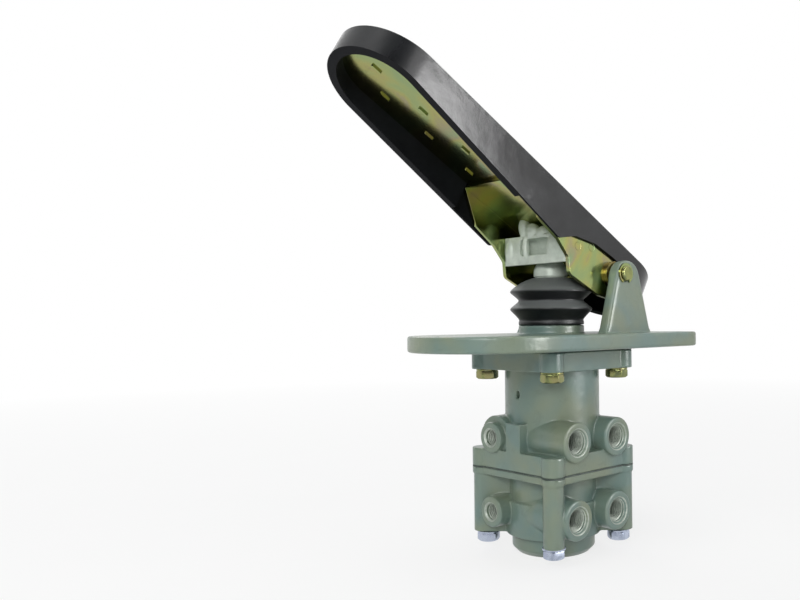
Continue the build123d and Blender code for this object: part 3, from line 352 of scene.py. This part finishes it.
def dress(piece, material):
    piece.data.materials.clear()
    piece.data.materials.append(material)


for nodeName, node in nodes.items():
    dress(node, finishes[slotOf[nodeName]])
dress(nodes["body_gasket"], bareMetal("paintedGasket", paintedGasketLook))    # its rim was sprayed with the castings
print("stage: materials made and given to every node")


# Small helpers for modelling by hand
def deselect():
    for item in bpy.context.selected_objects:
        item.select_set(False)


def pick(piece):
    deselect()
    piece.select_set(True)
    bpy.context.view_layer.objects.active = piece


def modify(piece, kind, **settings):
    pick(piece)
    modifier = piece.modifiers.new(kind.lower(), kind)
    for key, value in settings.items():
        setattr(modifier, key, value)
    bpy.ops.object.modifier_apply(modifier=modifier.name)


def settle(piece, angle=None):
    pick(piece)
    bpy.ops.object.transform_apply(location=True, rotation=True, scale=True)
    if angle is None:
        bpy.ops.object.shade_smooth()
    else:
        bpy.ops.object.shade_smooth_by_angle(angle=math.radians(angle))


def editAll(piece):
    pick(piece)
    bpy.ops.object.mode_set(mode="EDIT")
    bpy.ops.mesh.select_all(action="SELECT")


def editDone():
    bpy.ops.object.mode_set(mode="OBJECT")


def finishPiece(piece, name, *stoodFor, material=None):
    piece.name = name
    piece.data.name = name
    dress(piece, material or finishes[slotOf[stoodFor[0]]])
    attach(piece, bodyOf[stoodFor[0]])
    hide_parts(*stoodFor)
    return piece


def mergedCopy(nodeName):
    piece = bpy.data.objects.new(nodeName + "_copy", nodes[nodeName].data.copy())
    bpy.context.collection.objects.link(piece)
    editAll(piece)
    bpy.ops.mesh.remove_doubles(threshold=0.003 * mm)
    editDone()
    return piece


# Castings: chosen edges are rounded first, then the whole skin is drawn over in one, as cast
castings = {
    "mounting_plate": {"name": "plate_casting", "voxel": 0.6, "rounds": 4, "keep": 0.3},
    "upper_body": {"name": "upper_casting", "voxel": 0.5, "rounds": 4, "keep": 0.3},
    "lower_body": {"name": "lower_casting", "voxel": 0.5, "rounds": 4, "keep": 0.34},
}
plateEdges = {
    "rim": {"width": 1.7, "segments": 3}, "ear": {"width": 3.4, "segments": 5}, "earRounds": 60,
    "halfWidth": 52.5, "toeCentre": 52, "heelEnd": -100.5, "earFrom": 12, "earInside": 30, "pinHeight": 49.2, "pinX": -26,
    "pinRadius": 8,
}


def atPlateRim(point, setup):
    if point.z > 11:
        return False
    if point.x > setup["toeCentre"]:
        return math.hypot(point.x - setup["toeCentre"], point.y) > setup["halfWidth"] - 3
    return abs(point.y) > setup["halfWidth"] - 3 or point.x < setup["heelEnd"] + 3


def atEar(point, setup):
    fromPin = math.hypot(point.x - setup["pinX"], point.z - setup["pinHeight"])
    return point.z > setup["earFrom"] and abs(point.y) > setup["earInside"] and fromPin > setup["pinRadius"]


def roundEdges(piece, place, setup, edge):
    editAll(piece)
    bpy.ops.mesh.select_mode(type="EDGE")
    bpy.ops.mesh.select_all(action="DESELECT")
    bpy.ops.mesh.edges_select_sharp(sharpness=math.radians(30))
    editDone()
    points = piece.data.vertices
    for each in piece.data.edges:
        middle = (points[each.vertices[0]].co + points[each.vertices[1]].co) / (2 * mm)
        each.select = each.select and place(middle, setup)
    bpy.ops.object.mode_set(mode="EDIT")
    bpy.ops.mesh.bevel(offset=edge["width"] * mm, segments=edge["segments"], affect="EDGES", clamp_overlap=True)
    editDone()


def softenEars(piece, setup):
    ears = piece.vertex_groups.new(name="ears")
    ears.add([v.index for v in piece.data.vertices if atEar(v.co / mm, setup)], 1.0, "REPLACE")
    modify(piece, "SMOOTH", factor=0.5, iterations=setup["earRounds"], vertex_group="ears")
    piece.vertex_groups.clear()


def castSkin(nodeName, settings):
    piece = mergedCopy(nodeName)
    if nodeName == "mounting_plate":
        editAll(piece)
        bpy.ops.mesh.dissolve_limited(angle_limit=math.radians(0.5))
        editDone()
        roundEdges(piece, atPlateRim, plateEdges, plateEdges["rim"])
        roundEdges(piece, atEar, plateEdges, plateEdges["ear"])
    modify(piece, "REMESH", mode="VOXEL", voxel_size=settings["voxel"] * mm)
    if nodeName == "mounting_plate":
        softenEars(piece, plateEdges)
    modify(piece, "SMOOTH", factor=0.5, iterations=settings["rounds"])
    modify(piece, "DECIMATE", ratio=settings["keep"])
    settle(piece)
    return finishPiece(piece, settings["name"], nodeName)


for nodeName, settings in castings.items():
    skin = castSkin(nodeName, settings)
    print("stage:", skin.name, "cast,", len(skin.data.polygons), "faces")


# Sheet metal and moulded rubber: the same shape with its edges broken
softEdged = {
    "tread_rubber": {"name": "tread_cover", "width": 0.55, "segments": 2, "smooth": 42},
    "hinge_bracket": {"name": "bracket_channel", "width": 0.35, "segments": 2, "smooth": 35},
    "pedal_pan": {"name": "pan_plate", "width": 0.25, "segments": 2, "smooth": 35},
    "plunger": {"name": "plunger_head", "width": 0.3, "segments": 2, "smooth": 40},
    "hinge_pin": {"name": "turned_pin", "width": 0.25, "segments": 2, "smooth": 35},
}


def softEdges(nodeName, settings):
    piece = mergedCopy(nodeName)
    editAll(piece)
    bpy.ops.mesh.dissolve_limited(angle_limit=math.radians(0.4))
    editDone()
    modify(piece, "BEVEL", width=settings["width"] * mm, segments=settings["segments"], limit_method="ANGLE",
           angle_limit=math.radians(32), use_clamp_overlap=True)
    settle(piece, settings["smooth"])
    modify(piece, "WEIGHTED_NORMAL", weight=100, keep_sharp=True)
    return finishPiece(piece, settings["name"], nodeName)


# The cover's underside and the inside of its skirt are matte from the mould
coverInside = {"slope": 30, "topSkin": 5, "facingDown": -0.7, "facingIn": -0.1}


def matteInside(piece, setup):
    slope = math.radians(setup["slope"])
    up = Vector((-math.sin(slope), 0, math.cos(slope)))
    deepest = max(vertex.co.dot(up) for vertex in piece.data.vertices) - setup["topSkin"] * mm
    piece.data.materials.append(insideFinish)
    for face in piece.data.polygons:
        outward = face.normal.y * math.copysign(1, face.center.y)
        hidden = face.normal.dot(up) < setup["facingDown"] or outward < setup["facingIn"]
        if hidden and face.center.dot(up) < deepest:
            face.material_index = 1


for nodeName, settings in softEdged.items():
    piece = softEdges(nodeName, settings)
    if nodeName == "tread_rubber":
        matteInside(piece, coverInside)
    print("stage:", piece.name, "edges broken,", len(piece.data.polygons), "faces")


# Pressure bridge: a small rough aluminium casting with lobed front, lumps on top and a swollen skin
bridgeSetup = {
    "voxel": 0.5, "rounds": 6, "keep": 0.35,
    "lobes": [    # middle of each lump, its half sizes and its lean, in millimetres and degrees
        {"at": (14.0, -24.5, 66.0), "half": (3.6, 4.6, 9.0), "lean": 0},
        {"at": (14.6, -8.5, 67.5), "half": (2.6, 2.4, 8.5), "lean": 4},
        {"at": (14.2, 20.0, 66.0), "half": (3.2, 9.5, 9.5), "lean": -6},
        {"at": (12.0, -11.5, 80.0), "half": (5.0, 4.5, 8.0), "lean": 12},
        {"at": (12.5, -4.0, 78.0), "half": (4.5, 6.0, 5.5), "lean": -20},
        {"at": (12.0, 5.5, 76.5), "half": (4.5, 5.5, 4.5), "lean": 10},
        {"at": (11.0, 14.0, 75.5), "half": (4.0, 4.5, 3.0), "lean": -8},
    ],
}


def modelBridge(setup):
    piece = mergedCopy("pressure_bridge")
    lumps = []
    for lobe in setup["lobes"]:
        deselect()
        place = tuple(c * mm for c in lobe["at"])
        bpy.ops.mesh.primitive_uv_sphere_add(segments=24, ring_count=12, radius=mm, location=place,
                                             rotation=(math.radians(lobe["lean"]), 0, 0))
        lump = bpy.context.object
        lump.scale = lobe["half"]
        settle(lump)
        lumps.append(lump)
    deselect()
    for lump in lumps:
        lump.select_set(True)
    piece.select_set(True)
    bpy.context.view_layer.objects.active = piece
    bpy.ops.object.join()
    modify(piece, "REMESH", mode="VOXEL", voxel_size=setup["voxel"] * mm)
    modify(piece, "SMOOTH", factor=0.5, iterations=setup["rounds"])
    modify(piece, "DECIMATE", ratio=setup["keep"])
    settle(piece)
    return finishPiece(piece, "bridge_casting", "pressure_bridge")


modelBridge(bridgeSetup)
print("stage: bridge modelled")


# Turned and moulded rounds: rings are pulled up and scaled one after another
def lathe(outline, segments, centre=(0, 0)):
    first = outline[0]
    place = (centre[0] * mm, centre[1] * mm, first[1] * mm)
    deselect()
    bpy.ops.mesh.primitive_circle_add(vertices=segments, radius=first[0] * mm, location=place)
    piece = bpy.context.object
    editAll(piece)
    middle = (centre[0] * mm, centre[1] * mm, 0)
    for (radius, height), (nextRadius, nextHeight) in zip(outline, outline[1:]):
        bpy.ops.mesh.extrude_region_move(TRANSFORM_OT_translate={"value": (0, 0, (nextHeight - height) * mm)})
        share = nextRadius / radius
        bpy.ops.transform.resize(value=(share, share, 1), center_override=middle)
    editDone()
    return piece


# Boot: two convolutions between the plate's neck and the plunger's head
bootSetup = {
    "outline": [(21.5, 15.6), (22.0, 16.2), (22.0, 17.9), (21.5, 18.6), (21.7, 19.6), (22.9, 21.1), (25.2, 23.5),
                (27.2, 25.4), (27.7, 26.3), (27.3, 27.2), (25.3, 28.8), (22.6, 31.0), (21.7, 32.0), (22.2, 33.0),
                (24.4, 34.9), (27.0, 36.9), (27.7, 37.8), (27.3, 38.8), (24.8, 41.1), (20.6, 44.0), (16.0, 46.1),
                (13.4, 46.7), (12.9, 47.1), (12.2, 47.2)],
    "segments": 96, "wall": 1.5, "squash": 0.669, "anchor": 15.5,
}


def modelBoot(setup):
    piece = lathe(setup["outline"], setup["segments"])
    editAll(piece)
    bpy.ops.mesh.normals_make_consistent(inside=False)
    editDone()
    modify(piece, "SOLIDIFY", thickness=setup["wall"] * mm, offset=-1)
    modify(piece, "SUBSURF", levels=1, render_levels=1)
    settle(piece)
    finishPiece(piece, "bellows_boot", "boot", material=bootFinish)
    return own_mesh(piece)


modelBoot(bootSetup)
print("stage: boot moulded")


# Springs: each coil is a shaded copy of its node; the share it would keep when its joint presses it is worked out, but
# the coil is not closed up
springSetup = {
    "graduating_spring": {"name": "graduating_coil", "joint": "plunger_slide", "yields": "primary_piston_slide", "held": 1},
    "primary_return_spring": {"name": "primary_return_coil", "joint": "primary_piston_slide", "yields": None, "held": 0},
    "primary_valve_spring": {"name": "primary_valve_coil", "joint": "primary_valve_slide", "yields": None, "held": 0},
    "relay_return_spring": {"name": "relay_return_coil", "joint": "relay_piston_slide", "yields": None, "held": 0},
    "secondary_valve_spring": {"name": "secondary_valve_coil", "joint": "secondary_valve_slide", "yields": None, "held": 0},
}
travelOf = {joint["name"]: joint["range_m"][1] for joint in frame["record"]["behaviour"]["joints"] if "range_m" in joint}


def modelSpring(nodeName, settings):
    piece = mergedCopy(nodeName)
    settle(piece, 40)
    finishPiece(piece, settings["name"], nodeName)
    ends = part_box(nodeName)
    pressed = travelOf[settings["joint"]] - travelOf.get(settings["yields"], 0)
    keep = 1 - pressed / (ends[1].z - ends[0].z)
    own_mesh(piece)


for nodeName, settings in springSetup.items():
    modelSpring(nodeName, settings)
print("stage: springs wound")


# Bolts: forged heads with turned corners, and rolled shanks
boltSetup = {
    "pitchRadius": 43.3, "acrossFlats": 13.0, "head": 5.3, "shank": 8.0, "cornerCut": 1.1, "dish": 0.5,
    "washerRadius": 7.4, "washerHole": 4.4, "washer": 1.4,
    "flangeTurns": (45, 35, 52, 55), "bodyTurns": (14, 33, 27, 56),
}


def hexHead(setup, bottom):
    across = setup["acrossFlats"] / math.cos(math.radians(30))
    deselect()
    bpy.ops.mesh.primitive_cylinder_add(vertices=6, radius=across / 2 * mm, depth=setup["head"] * mm,
                                        location=(0, 0, (bottom + setup["head"] / 2) * mm))
    head = bpy.context.object
    rim = setup["acrossFlats"] / 2 - 0.3
    corner = across / 2 + 0.05
    top = bottom + setup["head"]
    outline = [(rim - 1.6, bottom + setup["dish"]), (rim - 0.8, bottom), (rim, bottom), (corner, bottom + setup["cornerCut"]),
               (corner, top - 0.35), (rim + 0.2, top), (1.0, top)]
    turned = lathe(outline, 48)
    editAll(turned)
    bpy.ops.mesh.select_all(action="DESELECT")
    bpy.ops.mesh.select_non_manifold()
    bpy.ops.mesh.edge_face_add()
    bpy.ops.mesh.select_all(action="SELECT")
    bpy.ops.mesh.normals_make_consistent(inside=False)
    editDone()
    modify(head, "BOOLEAN", object=turned, operation="INTERSECT", solver="EXACT")
    bpy.data.objects.remove(turned)
    settle(head)
    return head


def boltSet(name, nodeName, setup, turns, headBottom, shankTop):
    made = []
    for number, turn in enumerate(turns):
        head = hexHead(setup, headBottom)
        length = shankTop - headBottom - setup["head"] + 1
        middle = headBottom + setup["head"] - 1 + length / 2
        bpy.ops.mesh.primitive_cylinder_add(vertices=32, radius=setup["shank"] / 2 * mm, depth=length * mm,
                                            location=(0, 0, middle * mm))
        shank = bpy.context.object
        modify(shank, "BEVEL", width=0.7 * mm, segments=1, limit_method="ANGLE")
        modify(head, "BOOLEAN", object=shank, operation="UNION", solver="EXACT")
        bpy.data.objects.remove(shank)
        modify(head, "BEVEL", width=0.18 * mm, segments=2, limit_method="ANGLE", angle_limit=math.radians(25))
        place = math.radians(45 + 90 * number)
        head.rotation_euler = (0, 0, math.radians(turn))
        head.location = (setup["pitchRadius"] * math.cos(place) * mm, setup["pitchRadius"] * math.sin(place) * mm, 0)
        settle(head, 30)
        made.append(head)
    return joinSet(made, name, nodeName)


def joinSet(made, name, nodeName):
    deselect()
    for piece in made:
        piece.select_set(True)
    bpy.context.view_layer.objects.active = made[0]
    bpy.ops.object.join()
    return finishPiece(made[0], name, nodeName)


def washerSet(name, nodeName, setup, bottom):
    made = []
    for number in range(4):
        place = math.radians(45 + 90 * number)
        centre = (setup["pitchRadius"] * math.cos(place), setup["pitchRadius"] * math.sin(place))
        outer = setup["washerRadius"]
        top = bottom + setup["washer"]
        outline = [(setup["washerHole"], bottom), (outer - 0.25, bottom), (outer, bottom + 0.25), (outer, top - 0.25),
                   (outer - 0.25, top), (setup["washerHole"], top), (setup["washerHole"], bottom)]
        piece = lathe(outline, 48, centre)
        editAll(piece)
        bpy.ops.mesh.remove_doubles(threshold=0.001 * mm)
        bpy.ops.mesh.normals_make_consistent(inside=False)
        editDone()
        settle(piece, 30)
        made.append(piece)
    return joinSet(made, name, nodeName)


def topOf(nodeName):
    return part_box(nodeName)[1].z / mm


def bottomOf(nodeName):
    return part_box(nodeName)[0].z / mm


boltSet("flange_bolt_set", "flange_bolts", boltSetup, boltSetup["flangeTurns"], bottomOf("flange_bolts"),
        topOf("flange_bolts"))
boltSet("body_bolt_set", "body_bolts", boltSetup, boltSetup["bodyTurns"], bottomOf("body_bolts"), topOf("body_bolts"))
washerSet("flange_washer_set", "flange_washers", boltSetup, bottomOf("flange_washers"))
washerSet("body_washer_set", "body_washers", boltSetup, bottomOf("body_washers"))
print("stage: bolts and washers made")


# Threads of the six ports, one closed helical ridge each
threadSetup = {
    "large": {"radius": 7.25, "depth": 0.75, "pitch": 1.5, "start": 38.6, "turns": 9, "face": 41.0, "mouth": 8.75},
    "small": {"radius": 5.25, "depth": 0.65, "pitch": 1.5, "start": 38.0, "turns": 7, "face": 40.0, "mouth": 6.05},
    "portOffset": 18.7, "smallOffset": -17.5, "levels": (-57, -105), "sunk": 0.35, "steps": 28, "lip": 0.3,
}


def mouthCone(size, lip):
    face = size["start"] - size["face"]
    deep = face + size["mouth"] - size["radius"]
    inner = (size["radius"] - lip / 2, deep + lip / 2)
    outline = [inner, (size["mouth"], face), (size["mouth"] + lip, face - lip / 4), (size["mouth"] + lip, face + lip),
               (size["radius"] + lip, deep + lip), inner]
    cone = lathe(outline, 64)
    editAll(cone)
    bpy.ops.mesh.remove_doubles(threshold=0.001 * mm)
    bpy.ops.mesh.normals_make_consistent(inside=False)
    editDone()
    return cone


def threadRidge(size, setup, name, nodeName, matrix):
    deselect()
    outer = size["radius"] + setup["sunk"]
    inner = size["radius"] - size["depth"]
    bpy.ops.mesh.primitive_circle_add(vertices=4, radius=size["pitch"] / 2 * mm, location=(outer * mm, 0, 0),
                                      rotation=(math.radians(90), 0, 0))
    ridge = bpy.context.object
    pick(ridge)
    bpy.ops.object.transform_apply(location=True, rotation=True, scale=True)
    half = size["pitch"] / 2 * 0.94
    corners = [(outer, -half), (inner, -0.09), (inner, 0.09), (outer, half)]
    for vertex, (radius, height) in zip(ridge.data.vertices, corners):
        vertex.co = (radius * mm, 0, height * mm)
    modify(ridge, "SCREW", angle=math.radians(360), screw_offset=size["pitch"] * mm, iterations=size["turns"],
           steps=setup["steps"], render_steps=setup["steps"], use_merge_vertices=False, axis="Z")
    editAll(ridge)
    bpy.ops.mesh.select_all(action="DESELECT")
    bpy.ops.mesh.select_non_manifold()
    bpy.ops.mesh.fill_holes(sides=4)
    bpy.ops.mesh.select_all(action="SELECT")
    bpy.ops.mesh.normals_make_consistent(inside=False)
    editDone()
    cone = mouthCone(size, setup["lip"])
    pick(ridge)
    cone.select_set(True)
    bpy.ops.object.join()
    ridge.matrix_world = matrix
    settle(ridge, 30)
    ridge.name = name
    ridge.data.name = name
    dress(ridge, threadFinish)
    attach(ridge, bodyOf[nodeName])
    return ridge


def portThreads(setup):
    intoY = Matrix.Rotation(math.radians(90), 4, "X")
    intoX = Matrix.Rotation(math.radians(-90), 4, "Y")
    for level, part in zip(setup["levels"], ("upper", "lower")):
        nodeName = part + "_body"
        for side, end in ((1, "toe"), (-1, "heel")):
            place = Matrix.Translation((side * setup["portOffset"] * mm, setup["large"]["start"] * mm, level * mm))
            threadRidge(setup["large"], setup, f"{part}_{end}_port_thread", nodeName, place @ intoY)
        place = Matrix.Translation((setup["small"]["start"] * mm, setup["smallOffset"] * mm, level * mm))
        threadRidge(setup["small"], setup, f"{part}_small_port_thread", nodeName, place @ intoX)


portThreads(threadSetup)
print("stage: port threads cut")


# Studio: a pale floor and a white surround, a tall window beside the ports and a broad light over the toe
studio = {
    "floorSize": 8.0, "floor": (0.80, 0.80, 0.79), "floorLift": 0.78, "ambient": (0.93, 0.97, 1.0), "ambientLevel": 0.31,
    "lamps": [
        {"name": "windowLight", "azimuth": 110, "elevation": 24, "distance": 1.35, "size": (0.6, 0.9), "power": 2.2},
        {"name": "windowSheen", "azimuth": 112, "elevation": 11, "distance": 1.35, "size": (0.58, 0.62), "power": 13.0,
         "glossOnly": True},
        {"name": "frontLight", "azimuth": 38, "elevation": 20, "distance": 1.5, "size": (0.5, 0.5), "power": 8.5},
        {"name": "toeLight", "azimuth": 5, "elevation": 40, "distance": 1.5, "size": (1.1, 1.1), "power": 5.0},
        {"name": "topLight", "azimuth": 45, "elevation": 84, "distance": 1.4, "size": (0.8, 0.8), "power": 5.0},
        {"name": "backLight", "azimuth": 250, "elevation": 40, "distance": 1.5, "size": (0.8, 0.8), "power": 5.0},
    ],
    "aim": (0, 0, 0.01),
    "darkSide": {"azimuth": 24, "from": 0.20, "to": 0.48, "level": 0.05, "roofFrom": 0.88, "roofTo": 0.98},
}


def seenRay(wire):
    path = wire.node("LightPath")
    camera = path
    glossy = wire.node("LightPath", out=3)
    through = wire.node("LightPath", out=6)
    return (camera + glossy + through).between(0, 1)


def addFloor(setup):
    deselect()
    low = cadBox[0].z
    bpy.ops.mesh.primitive_plane_add(size=setup["floorSize"], location=(0, 0, low - 0.2 * mm))
    floor = bpy.context.object
    floor.name = "studioFloor"
    material, wire = startMaterial("studioFloor")
    speckle = wire.noise(60, 3).between(0.3, 0.7)
    paint = wire.node("BsdfDiffuse", {}, {0: speckle.mix(setup["floor"], tuple(c * 0.98 for c in setup["floor"]))})
    white = wire.node("Emission", {}, {0: (1, 1, 1, 1), 1: 1.0})
    place = wire.node("TexCoord", out=3)
    away = wire.node("VectorMath", {"operation": "LENGTH"}, {0: place}, out=1)
    lift = away.between(0.25, 1.6) * (1 - setup["floorLift"]) + setup["floorLift"]
    mixed = wire.node("MixShader", {}, {0: seenRay(wire) * lift, 1: paint, 2: white})
    wire.node("OutputMaterial", {}, {"Surface": mixed})
    dress(floor, material)


def addSurround(setup):
    world = bpy.context.scene.world or bpy.data.worlds.new("studioWorld")
    bpy.context.scene.world = world
    world.use_nodes = True
    world.node_tree.nodes.clear()
    wire = Wire(world.node_tree)
    dim = wire.node("Background", {}, {0: (*setup["ambient"], 1), 1: setup["ambientLevel"]})
    dark = setup["darkSide"]    # the room behind the camera, which only gloss shows
    turn = math.radians(dark["azimuth"])
    sky = wire.node("TexCoord")
    level = wire.node("VectorMath", {"operation": "MULTIPLY"}, {0: sky, 1: (1, 1, 0)})
    level = wire.node("VectorMath", {"operation": "NORMALIZE"}, {0: level})
    facing = wire.node("VectorMath", {"operation": "DOT_PRODUCT"}, {0: level, 1: (math.cos(turn), math.sin(turn), 0)}, out=1)
    rise = wire.node("SeparateXYZ", {}, {0: sky}, out=2)
    inRoom = facing.between(dark["from"], dark["to"]) * (1 - rise.between(dark["roofFrom"], dark["roofTo"]))
    inRoom = inRoom * wire.node("LightPath", out=3)
    white = wire.node("Background", {}, {0: (1, 1, 1, 1), 1: 1 - inRoom * (1 - dark["level"])})
    mixed = wire.node("MixShader", {}, {0: seenRay(wire), 1: dim, 2: white})
    wire.node("OutputWorld", {}, {"Surface": mixed})


def addLamps(setup):
    aim = Vector(setup["aim"])
    for lamp in setup["lamps"]:
        turn = math.radians(lamp["azimuth"])
        rise = math.radians(lamp["elevation"])
        toLamp = Vector((math.cos(turn) * math.cos(rise), math.sin(turn) * math.cos(rise), math.sin(rise)))
        data = bpy.data.lights.new(lamp["name"], "AREA")
        data.shape = "RECTANGLE"
        data.size, data.size_y = lamp["size"]
        data.energy = lamp["power"]
        light = bpy.data.objects.new(lamp["name"], data)
        light.location = aim + toLamp * lamp["distance"]
        light.rotation_euler = toLamp.to_track_quat("Z", "Y").to_euler()
        light.visible_diffuse = not lamp.get("glossOnly", False)
        bpy.context.collection.objects.link(light)


addFloor(studio)
addSurround(studio)
addLamps(studio)
print("stage: studio lit")
